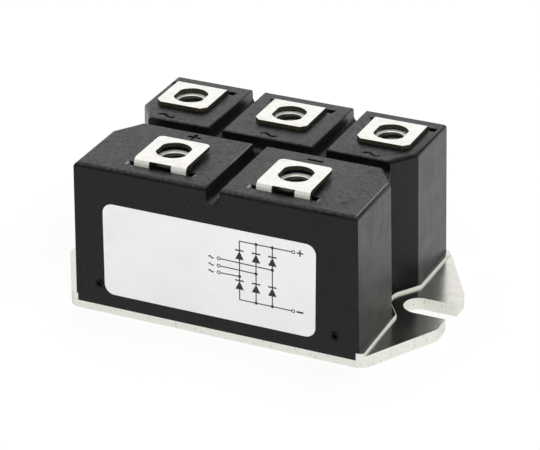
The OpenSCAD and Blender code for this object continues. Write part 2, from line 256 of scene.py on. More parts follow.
def moulding_finish(base):
    """Satin black filled plastic: fine eroded grain, faint flow marks, dust, painted highlight on
    slot ends.
    """
    material, tree, shader = finish("moulding", base, 0.34)
    filler = grain(tree, 0.55 * MM)
    cloud = grain(tree, 3.5 * MM, detail=3.0)
    flow = grain(tree, 1.3 * MM, stretch=(1.0, 1.0, 0.08))
    fine = grain(tree, 0.3 * MM, detail=3.0)
    dust = spread(tree, grain(tree, 0.42 * MM, detail=1.0), start=0.7, end=0.8)
    # painted highlight: the front slots' sloping ends are lightened to 75 times the base colour,
    # most at the top
    painted_highlight = spread(tree, painted(tree, "painted_highlight"), start=0.35, end=0.75)
    shade = blended(tree, spread(tree, cloud), tinted(base, 0.7), tinted(base, 1.4))
    for share, tint in ((dust, 8.0), (painted_highlight, 75.0)):
        shade = blended(tree, share, shade, tinted(base, tint))
    level, steep = (spread(tree, filler, low, 1.0 - low, start=0.3, end=0.7)
                    for low in (0.28, 0.45))
    feed(tree, shader, Base_Color=shade,
         Specular_IOR_Level=blended(tree, upright(tree), level, steep),
         Roughness=spread(tree, added(tree, cloud, flow, 0.55), 0.27, 0.4, start=0.55, end=1.0))
    dented(tree, shader, added(tree, fine, flow, 0.5), 0.03 * MM, strength=0.7)
    return material


def plating_finish(slot, base, low, high, cut=0.1, wear=0.88, lumps=0.35, depth=0.006,
                   matt=None, tarnish_and_painted_shade=None, metal=1.0, level=(0.35, 0.85)):
    """Metal plating: cloudy gloss, fine grain, a darker, warmer stain and duller upright faces.

    Its roughness lies between low and high, with cut added on upright faces. A face counts as
    upright below level's first number and as level above its second. wear darkens the stain;
    lumps and depth are the grain's, in millimetres. matt is the colour of upright faces, which
    scatter most of their light, and of the painted highlight on the base plate's lip. The dark
    colour given for cut faces goes where a mesh attribute marks them: on the terminals partly
    the tarnish of their cut edges and partly painted shade in their holes and under their tabs,
    on the nuts painted shade outside the bright lands and deep in their bores. metal is the
    share that mirrors as metal where matt isn't given.
    """
    material, tree, shader = finish(slot, base, (low + high) / 2, metallic=metal)
    cloud = grain(tree, 5.0 * MM, detail=3.0)
    stain = grain(tree, 1.6 * MM, detail=4.0)
    fine = grain(tree, lumps * MM, detail=3.0)
    warm = (base[0] * wear, base[1] * wear * 0.985, base[2] * wear * 0.95)
    shade = blended(tree, spread(tree, stain, start=0.42, end=0.72), base, warm)
    # faces marked with the painted highlight, the base plate's lip, take the lighter matt colour of
    # upright faces too
    dull = added(tree, upright(tree, *level), painted(tree, "painted_highlight"), 0.8)
    if matt:
        nicks = grain(tree, 0.45 * MM, detail=4.0, stretch=(1.0, 1.0, 0.5))
        nicked = blended(tree, spread(tree, nicks, start=0.6, end=0.72), matt, tinted(matt, 0.72))
        shade = blended(tree, dull, shade, nicked)
        feed(tree, shader, Metallic=spread(tree, dull, 1.0, 0.3, start=0.0, end=1.0))
    # dark faces: tarnish of cut edges together with painted shade, flecked with lighter nicks
    if tarnish_and_painted_shade:
        torn = grain(tree, 0.18 * MM, stretch=(1.0, 1.0, 0.4))
        torn = blended(tree, spread(tree, torn, start=0.62, end=0.74), tarnish_and_painted_shade,
                       tinted(tarnish_and_painted_shade, 4.0 if matt else 1.2))
        shade = blended(tree, painted(tree, "tarnish_and_painted_shade"), shade, torn)
    gloss = spread(tree, added(tree, cloud, fine, 0.5), low, high, start=0.55, end=0.95)
    feed(tree, shader, Base_Color=shade, Roughness=added(tree, gloss, dull, cut))
    dented(tree, shader, fine, depth * MM, strength=0.5)
    return material


def film_finish(base):
    """Matt label film with a faint cast and a soft orange-peel surface."""
    material, tree, shader = finish("label", base, 0.5, specular=0.4)
    mottled(tree, shader, base, grain(tree, 6.0 * MM), tints=(0.985, 1.02), gloss=(0.44, 0.56))
    dented(tree, shader, grain(tree, 0.3 * MM), 0.004 * MM, strength=0.4)
    return material


def ink_finish(base):
    """Thermal print: dense black with slightly uneven cover."""
    material, tree, shader = finish("ink", base, 0.42)
    mottled(tree, shader, base, grain(tree, 0.12 * MM), tints=(0.8, 1.8), gloss=(0.36, 0.5))
    return material


def ceramic_finish(base):
    """Fired alumina: matt white with a sugary grain."""
    material, tree, shader = finish("alumina", base, 0.6)
    fine = grain(tree, 0.2 * MM, detail=3.0)
    mottled(tree, shader, base, fine, tints=(0.95, 1.03), gloss=(0.52, 0.68))
    dented(tree, shader, fine, 0.01 * MM, strength=0.5)
    return material


def silicon_finish(base):
    """Lapped and metallised chip face: grey with a faint crossing grain."""
    material, tree, shader = finish("silicon", base, 0.3, metallic=0.9)
    rub = grain(tree, 0.25 * MM, detail=3.0, stretch=(1.0, 0.2, 1.0))
    mottled(tree, shader, base, rub, tints=(0.85, 1.2), gloss=(0.2, 0.38))
    return material


def gel_finish(base):
    """Clear silicone gel: glossy, pale and slightly cloudy."""
    material, tree, shader = finish("gel", base, 0.12)
    feed(tree, shader, Transmission_Weight=0.85, IOR=1.41)
    mottled(tree, shader, base, grain(tree, 2.5 * MM), tints=(1.0, 1.12), gloss=(0.08, 0.18))
    return material


def material_for(slot):
    """The finish of one of the record's material slots, made once."""
    made = bpy.data.materials.get(f"{slot}_finish")
    if made:
        return made
    own = bpy.context.scene.rectifier_colours
    makers = {
        "moulding": lambda: moulding_finish(own.moulding),
        "nickel_plate": lambda: plating_finish(
            slot, own.nickel, 0.16, 0.26, cut=0.25, wear=0.93, matt=own.edge, level=(0.12, 0.45)),
        "tinned_copper": lambda: plating_finish(
            slot, own.tin, 0.16, 0.28, cut=0.25, wear=0.9, lumps=0.22, depth=0.01,
            matt=own.edge, tarnish_and_painted_shade=own.tarnish_and_painted_shade),
        "zinc_steel": lambda: plating_finish(
            slot, own.zinc, 0.36, 0.46, cut=0.0, wear=0.94, lumps=0.3,
            # painted shade: the zinc darkened to 3 percent deep in the nuts' bores and outside
            # their bright lands
            tarnish_and_painted_shade=tinted(own.zinc, 0.03), metal=0.5),
        "copper": lambda: plating_finish(slot, own.copper, 0.25, 0.4, cut=0.05, wear=0.8),
        "label": lambda: film_finish(own.film),
        "ink": lambda: ink_finish(own.ink),
        "alumina": lambda: ceramic_finish(own.alumina),
        "silicon": lambda: silicon_finish(own.silicon),
        "gel": lambda: gel_finish(own.gel),
    }
    return makers[slot]()


# ---------- meshes ----------

def put(name, mesh, material):
    """An object at the origin that carries a mesh and one material."""
    piece = bpy.data.objects.new(name, mesh)
    bpy.context.scene.collection.objects.link(piece)
    mesh.materials.clear()
    mesh.materials.append(material)
    return piece


def merged(node):
    """A joined copy of a CAD node's loose triangles, with its flat areas in one face each."""
    form = bmesh.new()
    form.from_mesh(frame["nodes"][node].data)
    bmesh.ops.remove_doubles(form, verts=form.verts, dist=WELD)
    bmesh.ops.dissolve_limit(form, angle_limit=math.radians(1.0), verts=form.verts,
                             edges=form.edges)
    mesh = bpy.data.meshes.new(node)
    form.to_mesh(mesh)
    form.free()
    return mesh


def settled(piece):
    """Replaces a piece's mesh by what its modifiers make of it, and takes them off."""
    graph = bpy.context.evaluated_depsgraph_get()
    before = piece.data
    made = bpy.data.meshes.new_from_object(piece.evaluated_get(graph), depsgraph=graph)
    name = before.name
    piece.modifiers.clear()
    piece.data = made
    bpy.data.meshes.remove(before)
    made.name = name


def marked(piece, name, amount):
    """Writes amount(face, point), from 0 to 1, into an attribute at every corner of every face."""
    mesh = piece.data
    layer = mesh.attributes.new(name, "FLOAT", "CORNER")
    for face in mesh.polygons:
        for corner, vert in zip(face.loop_indices, face.vertices):
            layer.data[corner].value = float(amount(face, mesh.vertices[vert].co))


def flattened(piece, sharp):
    """Gives every wide face its own normal, and the smooth faces beside it the same one there."""
    mesh = piece.data
    normals = [corner.vector.copy() for corner in mesh.corner_normals]
    flats = {}
    for face in mesh.polygons:
        around = sum((mesh.vertices[a].co - mesh.vertices[b].co).length
                     for a, b in face.edge_keys)
        if 2 * face.area > FLAT_WIDTH * around:
            for corner, vert in zip(face.loop_indices, face.vertices):
                normals[corner] = face.normal.copy()
                flats.setdefault(vert, []).append(face.normal.copy())
    near = math.cos(math.radians(sharp))
    for face in mesh.polygons:
        for corner, vert in zip(face.loop_indices, face.vertices):
            beside = [normal for normal in flats.get(vert, ()) if normal.dot(face.normal) > near]
            if beside:
                normals[corner] = max(beside, key=face.normal.dot)
    mesh.normals_split_custom_set(normals)


def shaded(piece, edge=0.0, steps=2, sharp=30.0):
    """Rounds sharp edges by edge and shades the rest smooth, flat areas staying flat."""
    if edge:
        bevel = piece.modifiers.new("Edges", "BEVEL")
        bevel.width = edge
        bevel.segments = steps
        bevel.limit_method = "ANGLE"
        bevel.angle_limit = math.radians(35.0)
        settled(piece)
    piece.data.shade_smooth()
    piece.data.set_sharp_from_angle(angle=math.radians(sharp))
    weigh = piece.modifiers.new("Normals", "WEIGHTED_NORMAL")
    weigh.keep_sharp = True
    settled(piece)
    flattened(piece, sharp)


def carved(piece, cutter):
    """Takes a cutter's volume out of a piece."""
    cut = piece.modifiers.new("Cut", "BOOLEAN")
    cut.operation = "DIFFERENCE"
    cut.solver = "EXACT"
    cut.object = cutter
    settled(piece)
    bpy.data.objects.remove(cutter)


def aboard(piece, slot, *nodes):
    """Seats a finished piece on the frame in place of CAD nodes."""
    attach(piece, "root")
    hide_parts(*nodes)


def prism(form, outline, place, low, high):
    """Adds a closed prism over a flat outline that runs counter-clockwise.

    place turns (u, v, lift) into a point.
    """
    bottom = [form.verts.new(place(u, v, low)) for u, v in outline]
    top = [form.verts.new(place(u, v, high)) for u, v in outline]
    form.faces.new(list(reversed(bottom)))
    form.faces.new(top)
    for i in range(len(outline)):
        j = (i + 1) % len(outline)
        form.faces.new((bottom[i], bottom[j], top[j], top[i]))


def stroke(points, width):
    """Outline of a line of even width through points."""
    left, right = [], []
    for i, (x, y) in enumerate(points):
        ahead = points[min(i + 1, len(points) - 1)]
        behind = points[max(i - 1, 0)]
        along = Vector((ahead[0] - behind[0], ahead[1] - behind[1])).normalized()
        left.append((x - along.y * width / 2, y + along.x * width / 2))
        right.append((x + along.y * width / 2, y - along.x * width / 2))
    return right + left[::-1]


def disc(x, y, radius, count=24):
    """Outline of a circle."""
    turns = [math.tau * i / count for i in range(count)]
    return [(x + radius * math.cos(turn), y + radius * math.sin(turn)) for turn in turns]


def wave(x, y, width, height, count=16):
    """Points of one period of a tilde."""
    return [(x - width / 2 + width * i / count, y + height / 2 * math.sin(math.tau * i / count))
            for i in range(count + 1)]


def tilde(x, y, width, height, line):
    """The outlines of a tilde, a single one."""
    return [stroke(wave(x, y, width, height), line)]


def minus(x, y, width, line):
    """The outlines of a minus sign, a single one."""
    return [stroke([(x - width / 2, y), (x + width / 2, y)], line)]


def plus(x, y, width, height, line):
    """The outlines of a plus sign: a single one, so that its two strokes don't overlap."""
    w, h, l = width / 2, height / 2, line / 2
    return [[(x + l, y - h), (x + l, y - l), (x + w, y - l), (x + w, y + l), (x + l, y + l),
             (x + l, y + h), (x - l, y + h), (x - l, y + l), (x - w, y + l), (x - w, y - l),
             (x - l, y - l), (x - l, y - h)]]


def made_mesh(name, form):
    """Closes a bmesh into a mesh whose faces point outwards."""
    bmesh.ops.recalc_face_normals(form, faces=form.faces)
    mesh = bpy.data.meshes.new(name)
    form.to_mesh(mesh)
    form.free()
    return mesh


def front_plane():
    """A point on the drafted label side of the housing and its outward normal."""
    area, centre, normal = 0.0, Vector(), Vector()
    for face in frame["nodes"]["housing"].data.polygons:
        if face.normal.y < -0.99 and face.center.y < HOUSING_LOW.y + MM:
            area += face.area
            centre += face.center * face.area
            normal += face.normal * face.area
    return centre / area, normal.normalized()


FRONT_POINT, FRONT_NORMAL = front_plane()


def on_front(x, z, lift):
    """Point on the label side at x and z, lifted off it towards -Y."""
    y = FRONT_POINT.y - (z - FRONT_POINT.z) * FRONT_NORMAL.z / FRONT_NORMAL.y
    return Vector((x, y - lift, z))


def on_top(x, y, lift):
    """Point over the housing's top face."""
    return Vector((x, y, HOUSING_HIGH.z + lift))


# ---------- the pieces ----------

# what the mould leaves on the housing: marks and dimple on its top, scars on the label side
MARKS_MM = (("~", -20.5, 3.35), ("~", -0.4, 3.3), ("~", 19.4, 3.2), ("+", -11.9, -2.95),
            ("-", 11.5, -3.1))
TILDE_MM, PLUS_MM, MINUS_MM = (3.2, 0.85), (2.6, 2.4), 3.0
SCARS_MM = ((-22.25, 5.6), (22.75, 5.35))
SCAR_RING, SCAR_RING_DEPTH, SCAR_PIT_DEPTH = 0.13 * MM, 0.3 * MM, 0.9 * MM
SCAR_LUMPS, SCAR_LUMP_DEPTH = 5, 0.5 * MM
DIMPLE_X, DIMPLE_Y, DIMPLE_RADIUS, DIMPLE_DEPTH = 22.6 * MM, -16.5 * MM, 0.5 * MM, 0.06 * MM
CUTTER_TOP = 1.0 * MM             # how far what cuts the housing stands out of it
SLOPE_X, SLOPE_Z = 0.447, 0.894   # normal of the slots' sloping ends
SLOPE_PLAY, SLOPE_HIGHLIGHT_DROP = 0.03, 0.1 * MM   # how far a normal may be off; how far down their painted highlight reaches


class RECTIFIER_OT_housing(bpy.types.Operator):
    """Dress the moulded housing: polarity marks, gate scars and an ejector dimple"""

    bl_idname = "rectifier.housing"
    bl_label = "Housing"

    def execute(self, context):
        sizes = context.scene.rectifier_sizes
        cutter, pits = bmesh.new(), bmesh.new()
        line = sizes.mark_stroke / MM
        for mark, x, y in MARKS_MM:
            outlines = {"~": tilde(x, y, *TILDE_MM, line), "+": plus(x, y, *PLUS_MM, line),
                        "-": minus(x, y, MINUS_MM, line * 1.15)}[mark]
            for outline in outlines:
                outline = [(u * MM, v * MM) for u, v in outline]
                prism(cutter, outline, on_top, -sizes.mark_depth, CUTTER_TOP)
        dimple = disc(DIMPLE_X, DIMPLE_Y, DIMPLE_RADIUS)
        prism(cutter, dimple, on_top, -DIMPLE_DEPTH, CUTTER_TOP)
        dice = random.Random(5)
        for x, z in SCARS_MM:
            x, z, radius = x * MM, z * MM, sizes.scar_size / 2
            outer, inner = disc(x, z, radius, 32), disc(x, z, radius - SCAR_RING, 32)
            for part in (slice(0, 16), slice(16, 32)):
                prism(cutter, outer[part] + inner[part][::-1], on_front, -SCAR_RING_DEPTH,
                      CUTTER_TOP)
            torn = []
            for u, v in disc(0.0, 0.0, radius * 0.72, 17):
                reach = dice.uniform(0.65, 1.15)
                torn.append((x + u * reach, z + v * reach * 1.18))
            prism(pits, torn, on_front, -SCAR_PIT_DEPTH, CUTTER_TOP)
        moulding = material_for("moulding")
        housing = put("housing_shell", merged("housing"), moulding)
        for form in (cutter, pits):
            carved(housing, put("cutter", made_mesh("cutter", form), moulding))
        shaded(housing)
        # painted highlight on the sloping ends of the front slots, strongest along their top edge
        marked(housing, "painted_highlight", lambda face, point: (
            abs(abs(face.normal.x) - SLOPE_X) < SLOPE_PLAY
            and abs(face.normal.z - SLOPE_Z) < SLOPE_PLAY
            and face.center.y < 0 and point.z > HOUSING_HIGH.z - SLOPE_HIGHLIGHT_DROP))
        aboard(housing, "moulding", "housing")
        return {"FINISHED"}


class RECTIFIER_OT_scars(bpy.types.Operator):
    """Break off the two moulding gates inside their sunk discs"""

    bl_idname = "rectifier.scars"
    bl_label = "Gate scars"

    def execute(self, context):
        size = context.scene.rectifier_sizes.scar_size
        dice = random.Random(11)
        form = bmesh.new()
        for x, z in SCARS_MM:
            for _ in range(SCAR_LUMPS):
                turn, away = dice.uniform(0, math.tau), dice.uniform(0.0, 0.22) * size
                place = on_front(x * MM + away * math.cos(turn), z * MM + away * math.sin(turn),
                                 -SCAR_LUMP_DEPTH)
                radius = dice.uniform(0.1, 0.18) * size
                lump = bmesh.ops.create_icosphere(form, subdivisions=2, radius=radius)
                squash = Matrix.Diagonal((dice.uniform(0.6, 1.2), 0.3, dice.uniform(0.7, 1.3), 1.0))
                for vert in lump["verts"]:
                    vert.co = squash @ (vert.co * dice.uniform(0.85, 1.12)) + place
        scars = put("gate_scars", made_mesh("gate_scars", form), material_for("moulding"))
        shaded(scars, sharp=50.0)
        aboard(scars, "moulding")
        return {"FINISHED"}


LIP_HIGHLIGHT_DROP = 0.45 * MM     # how far down from its top the outer face of the plate's lip carries a painted highlight
LIP_CORNER = 1.2 * MM    # what is left unrounded of the lip, inside the housing's ends


class RECTIFIER_OT_base_plate(bpy.types.Operator):
    """Dress the nickel-plated base plate with rounded stamped edges"""

    bl_idname = "rectifier.base_plate"
    bl_label = "Base plate"

    def execute(self, context):
        sizes = context.scene.rectifier_sizes
        plate = put("base_plate_plated", merged("base_plate"), material_for("nickel_plate"))
        self.bead(plate.data, sizes.lip_edge)
        shaded(plate, sizes.plate_edge, 3)
        top = max(vert.co.z for vert in plate.data.vertices)
        # painted highlight: the outward top of the lip takes the lighter matt colour, so that it
        # shows as a bright line
        marked(plate, "painted_highlight", lambda face, point: (
            face.center.z > top - LIP_HIGHLIGHT_DROP
            and face.normal.x * math.copysign(1.0, face.center.x) > 0.25))
        aboard(plate, "nickel_plate", "base_plate")
        return {"FINISHED"}

    def bead(self, mesh, radius):
        """Rounds the lip over along its whole top."""
        form = bmesh.new()
        form.from_mesh(mesh)
        top = max(vert.co.z for vert in form.verts) - 0.01 * MM
        reach = HOUSING_HIGH.y - LIP_CORNER
        ridges = [edge for edge in form.edges if edge.is_manifold and edge.calc_face_angle() > 1.0
                  and all(vert.co.z > top and abs(vert.co.y) < reach for vert in edge.verts)]
        bmesh.ops.bevel(form, geom=ridges, offset=radius, segments=4, profile=0.5, affect="EDGES",
                        clamp_overlap=True)
        form.to_mesh(mesh)
        form.free()


LEG_START = 4.55 * MM    # from a nut's axis outwards to where its terminal's leg hangs


class RECTIFIER_OT_terminals(bpy.types.Operator):
    """Dress the five bent terminals with rounded stamped edges"""

    bl_idname = "rectifier.terminals"
    bl_label = "Terminals"

    def execute(self, context):
        for leg in LEGS:
            node = f"terminal_{leg}"
            low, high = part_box(f"nut_{leg}")
            axis_y = (low.y + high.y) / 2
            outwards = math.copysign(1.0, axis_y)
            tab = put(f"{node}_plated", merged(node), material_for("tinned_copper"))
            shaded(tab, context.scene.rectifier_sizes.tab_edge, 3)
            # painted dark: the tabs' cut sides and hole walls, partly their tarnish and partly
            # painted shade in the holes and under the lifted tabs
            marked(tab, "tarnish_and_painted_shade", lambda face, point: abs(face.normal.z) < 0.6 and (
                abs(face.normal.x) > 0.5 or (face.center.y - axis_y) * outwards < LEG_START))
            aboard(tab, "tinned_copper", node)
        return {"FINISHED"}


def nut_body(node, root_radius):
    """A hexagon nut with chamfered corners and countersunk mouths, bored to the thread's root."""
    low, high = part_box(node)
    centre = (low + high) / 2
    flat = min(high.x - low.x, high.y - low.y) / 2
    flats_on_x = high.x - low.x < high.y - low.y
    face, sink, count = flat * 0.97, NUT_MOUTH - root_radius, 96
    form = bmesh.new()
    rings = []
    for radius, z in ((root_radius, low.z + sink), (root_radius, high.z - sink),
                      (NUT_MOUTH, high.z), (NUT_LAND, high.z), (face, high.z), (None, high.z),
                      (None, low.z), (face, low.z), (NUT_LAND, low.z), (NUT_MOUTH, low.z)):
        ring = []
        for i in range(count):
            turn = math.tau * i / count
            from_flat = (turn + (0 if flats_on_x else math.pi / 6)) % (math.pi / 3)
            edge = flat / math.cos(min(from_flat, math.pi / 3 - from_flat))
            r, height = radius, z
            if radius is None:
                r = edge
                drop = (edge - face) * math.tan(math.radians(30))
                height = z - drop if z == high.z else z + drop
            ring.append(form.verts.new((centre.x + r * math.cos(turn),
                                        centre.y + r * math.sin(turn), height)))
        rings.append(ring)
    for k, ring in enumerate(rings):
        after = rings[(k + 1) % len(rings)]
        for i in range(count):
            j = (i + 1) % count
            form.faces.new((ring[i], ring[j], after[j], after[i]))
    return made_mesh(node, form), centre, high.z - low.z


def thread_tree():
    """Geometry Nodes: a helical ridge of trapezoid section up a nut's bore.

    What would stand in a countersink or past an end of the nut is pushed back into the metal.
    """
    tree = bpy.data.node_groups.new("Nut thread", "GeometryNodeTree")
    measures = ("Root radius", "Mouth radius", "Depth", "Pitch", "Height")
    kinds = {"Body": "Geometry", **dict.fromkeys(measures, "Float"), "Start": "Vector",
             "Turned": "Vector", "Material": "Material"}
    for name, kind in kinds.items():
        socket = tree.interface.new_socket(name, in_out="INPUT", socket_type=f"NodeSocket{kind}")
        if name in measures:
            socket.min_value = 0.0
    tree.interface.new_socket("Nut", in_out="OUTPUT", socket_type="NodeSocketGeometry")
    given = add_node(tree, "NodeGroupInput").outputs
    root, mouth, depth, pitch, height = (given[name] for name in measures)

    def calc(operation, *values):
        """What a math node makes of numbers or sockets."""
        return add_node(tree, "ShaderNodeMath", *values, operation=operation).outputs["Value"]

    middle = calc("SUBTRACT", root, calc("MULTIPLY", depth, 0.47))
    helix = add_node(tree, "GeometryNodeCurveSpiral", Resolution=40, Start_Radius=middle,
                     End_Radius=middle, Rotations=calc("DIVIDE", height, pitch), Height=height)
    standing = add_node(tree, "GeometryNodeSetCurveNormal", Curve=helix.outputs["Curve"],
                        mode="Z_UP")
    section = add_node(tree, "GeometryNodeCurvePrimitiveQuadrilateral", mode="TRAPEZOID",
                       Bottom_Width=calc("MULTIPLY", pitch, 0.86),
                       Top_Width=calc("MULTIPLY", pitch, 0.18),
                       Height=calc("MULTIPLY", depth, 1.06), Offset=0.0)
    inwards = add_node(tree, "GeometryNodeTransform", Geometry=section.outputs["Curve"],
                       Rotation=(0.0, 0.0, -math.pi / 2))
    ridge = add_node(tree, "GeometryNodeCurveToMesh", Curve=standing.outputs["Curve"],
                     Profile_Curve=inwards.outputs["Geometry"], Fill_Caps=True)

    # cone is the countersinks' radius at the depth sunk; points go out past it by the clearance
    clearance = 0.06 * MM
    position = add_node(tree, "GeometryNodeInputPosition").outputs["Position"]
    x, y, z = add_node(tree, "ShaderNodeSeparateXYZ", position).outputs
    half = calc("MULTIPLY", height, 0.5)
    above = calc("SUBTRACT", z, half)
    deep = calc("SUBTRACT", half, calc("ABSOLUTE", above))
    sunk = calc("MAXIMUM", deep, calc("ADD", calc("MULTIPLY", deep, 0.05), clearance))
    out = calc("POWER", calc("ADD", calc("MULTIPLY", x, x), calc("MULTIPLY", y, y)), 0.5)
    cone = calc("ADD", calc("SUBTRACT", mouth, sunk),
                calc("MULTIPLY", calc("SUBTRACT", out, root), 0.1))
    wider = calc("MAXIMUM", 1.0, calc("DIVIDE", calc("ADD", cone, clearance), out))
    closer = calc("DIVIDE", calc("SUBTRACT", half, sunk), calc("ABSOLUTE", above))
    spot = add_node(tree, "ShaderNodeCombineXYZ", calc("MULTIPLY", x, wider),
                    calc("MULTIPLY", y, wider), calc("ADD", half, calc("MULTIPLY", above, closer)))
    trimmed = add_node(tree, "GeometryNodeSetPosition", Geometry=ridge.outputs["Mesh"],
                       Position=spot.outputs["Vector"])
    placed = add_node(tree, "GeometryNodeTransform", Geometry=trimmed.outputs["Geometry"],
                      Translation=given["Start"], Rotation=given["Turned"])
    both = add_node(tree, "GeometryNodeJoinGeometry", Geometry=given["Body"])
    feed(tree, both, Geometry=placed.outputs["Geometry"])
    real = add_node(tree, "GeometryNodeRealizeInstances", Geometry=both.outputs["Geometry"])
    coated = add_node(tree, "GeometryNodeSetMaterial", Geometry=real.outputs["Geometry"],
                      Material=given["Material"])
    add_node(tree, "NodeGroupOutput", Nut=coated.outputs["Geometry"])
    return tree


def give(modifier, **values):
    """Sets a Geometry Nodes modifier's inputs, named with _ for a space, by their identifiers."""
    sockets = {item.name: item.identifier for item in modifier.node_group.interface.items_tree
               if item.item_type == "SOCKET" and item.in_out == "INPUT"}
    for name, value in values.items():
        modifier[sockets[name.replace("_", " ")]] = value


class RECTIFIER_OT_nuts(bpy.types.Operator):
    """Make the five nuts with their threads"""

    bl_idname = "rectifier.nuts"
    bl_label = "Nuts"

    def execute(self, context):
        sizes = context.scene.rectifier_sizes
        zinc = material_for("zinc_steel")
        tree = thread_tree()
        root = THREAD_CORE + sizes.thread_depth
        for leg in LEGS:
            node = f"nut_{leg}"
            mesh, centre, height = nut_body(node, root)
            nut = put(f"{node}_threaded", mesh, zinc)
            threads = nut.modifiers.new("Thread", "NODES")
            threads.node_group = tree
            give(threads, Root_radius=root, Mouth_radius=NUT_MOUTH, Depth=sizes.thread_depth,
                 Pitch=sizes.thread_pitch, Height=height, Material=zinc,
                 Start=(centre.x, centre.y, centre.z - height / 2),
                 Turned=(0.0, 0.0, -math.pi / 2 - math.tau * height / sizes.thread_pitch))
            settled(nut)
            shaded(nut, sharp=25.0)

            def painted_shade_at(face, point):
                """Where the nut is painted dark as shade: outside the bright lands, and on the
                thread's flanks deep in the bore but not on its crests.
                """
                out = (face.center - centre).xy.length
                depth = height / 2 - abs(face.center.z - centre.z)
                flank = THREAD_CORE + 0.02 * MM < out < NUT_MOUTH - 0.05 * MM
                return out > NUT_LAND + 0.05 * MM or flank and depth > 0.15 * MM

            # painted shade deep in the bore and beyond the bright land
            marked(nut, "tarnish_and_painted_shade", painted_shade_at)
            aboard(nut, "zinc_steel", node)
        return {"FINISHED"}


def rounded_sheet(width, height, radius, steps=10):
    """Outline of a rectangle with round corners about the origin."""
    points = []
    for cx, cy, start in ((1, -1, -90), (1, 1, 0), (-1, 1, 90), (-1, -1, 180)):
        for i in range(steps + 1):
            turn = math.radians(start + 90 * i / steps)
            points.append((cx * (width / 2 - radius) + radius * math.cos(turn),
                           cy * (height / 2 - radius) + radius * math.sin(turn)))
    return points


class RECTIFIER_OT_label(bpy.types.Operator):
    """Lay the pale label on the front, with a softly cut edge"""

    bl_idname = "rectifier.label"
    bl_label = "Label"

    def execute(self, context):
        centre, size = (LABEL_LOW + LABEL_HIGH) / 2, LABEL_HIGH - LABEL_LOW
        form = bmesh.new()
        outline = [(centre.x + u, centre.z + v)
                   for u, v in rounded_sheet(size.x, size.z, LABEL_CORNER)]
        prism(form, outline, on_front, 0.0, film_top(context))
        label = put("label_film", made_mesh("label_film", form), material_for("label"))
        shaded(label, 0.03 * MM, 2)
        aboard(label, "label", "label")
        return {"FINISHED"}


def film_top(context):
    """How far the label's film stands off the housing, which leaves room for the print."""
    return LABEL_THICKNESS - context.scene.rectifier_sizes.ink_height - INK_SINK


COLUMNS_MM = (5.04, 8.15, 11.2)      # the three bridge legs of the diagram, along X
BUSES_MM = (8.4, 19.6)               # its minus and plus lines, along Z
BUS_END_MM = 15.1                    # their connection points, along X
INPUTS_MM = (12.86, 14.0, 15.35)     # heights where the phases meet the legs
PHASES_MM = (12.8, 14.1, 15.5)       # heights of the phases' own connection points
PHASE_END_MM = 1.1                   # those points, along X
DIODES_MM = (11.2, 16.95)            # heights of the two rows of diodes
DIODE_WIDTH_MM = 1.6
DIODE_FOOT_MM, DIODE_TIP_MM, DIODE_BAR_MM = -0.85, 0.75, 0.86   # from the row's height
DOT_MM, RING_MM = 0.3, 0.36          # radii of joints and of connection points
SIGNS_MM = (16.3, 16.35, -0.35)      # the signs' places along X: plus, minus and tildes
PLUS_SIGN_MM, MINUS_SIGN_MM, TILDE_SIGN_MM = (1.2, 1.2, 0.26), (1.25, 0.34), (0.95, 0.34, 0.24)


class RECTIFIER_OT_diagram(bpy.types.Operator):
    """Print the circuit diagram of a three-phase bridge on the label"""

    bl_idname = "rectifier.diagram"
    bl_label = "Circuit diagram"

    def execute(self, context):
        height = context.scene.rectifier_sizes.ink_height
        line = context.scene.rectifier_sizes.line_width / MM
        base = film_top(context)
        low, high = BUSES_MM
        form = bmesh.new()

        def ink(outline, layer):
            """Prints an outline in millimetres, a little higher with each layer."""
            mm = [(u * MM, v * MM) for u, v in outline]
            prism(form, mm, on_front, base - INK_SINK, base + height * (0.7 + 0.1 * layer))

        for z in BUSES_MM:
            ink(stroke([(COLUMNS_MM[0] - line / 2, z), (BUS_END_MM - 0.34, z)], line), 0)
            self.ring(ink, BUS_END_MM, z, line)
            for column in COLUMNS_MM[1:]:
                ink(disc(column, z, DOT_MM), 3)
        for column, z in zip(COLUMNS_MM, INPUTS_MM):
            ink(stroke([(column, low), (column, high)], line), 1)
            ink(disc(column, z, DOT_MM), 3)
            left, right = column - DIODE_WIDTH_MM / 2, column + DIODE_WIDTH_MM / 2
            for middle in DIODES_MM:
                foot, tip, bar = (middle + rise
                                  for rise in (DIODE_FOOT_MM, DIODE_TIP_MM, DIODE_BAR_MM))
                ink([(left, foot), (right, foot), (column, tip)], 2)
                ink(stroke([(left, bar), (right, bar)], line * 1.3), 3)
        for mark in (plus(SIGNS_MM[0], high, *PLUS_SIGN_MM)
                     + minus(SIGNS_MM[1], low, *MINUS_SIGN_MM)):
            ink(mark, 2)
        for z, column, meet in zip(PHASES_MM, COLUMNS_MM, INPUTS_MM):
            ink(stroke([(PHASE_END_MM + 0.32, z), (column, meet)], line), 0)
            self.ring(ink, PHASE_END_MM, z, line)
            for mark in tilde(SIGNS_MM[2], z, *TILDE_SIGN_MM):
                ink(mark, 2)
        diagram = made_mesh("circuit_diagram", form)
        aboard(put("circuit_diagram", diagram, material_for("ink")), "label")
        return {"FINISHED"}

    def ring(self, ink, x, z, line):
        """An open connection point, in two halves that don't overlap."""
        outer, inner = disc(x, z, RING_MM, 32), disc(x, z, RING_MM - line * 0.8, 32)
        ink(outer[:17] + inner[:17][::-1], 3)
        ink(outer[16:] + outer[:1] + (inner[16:] + inner[:1])[::-1], 3)


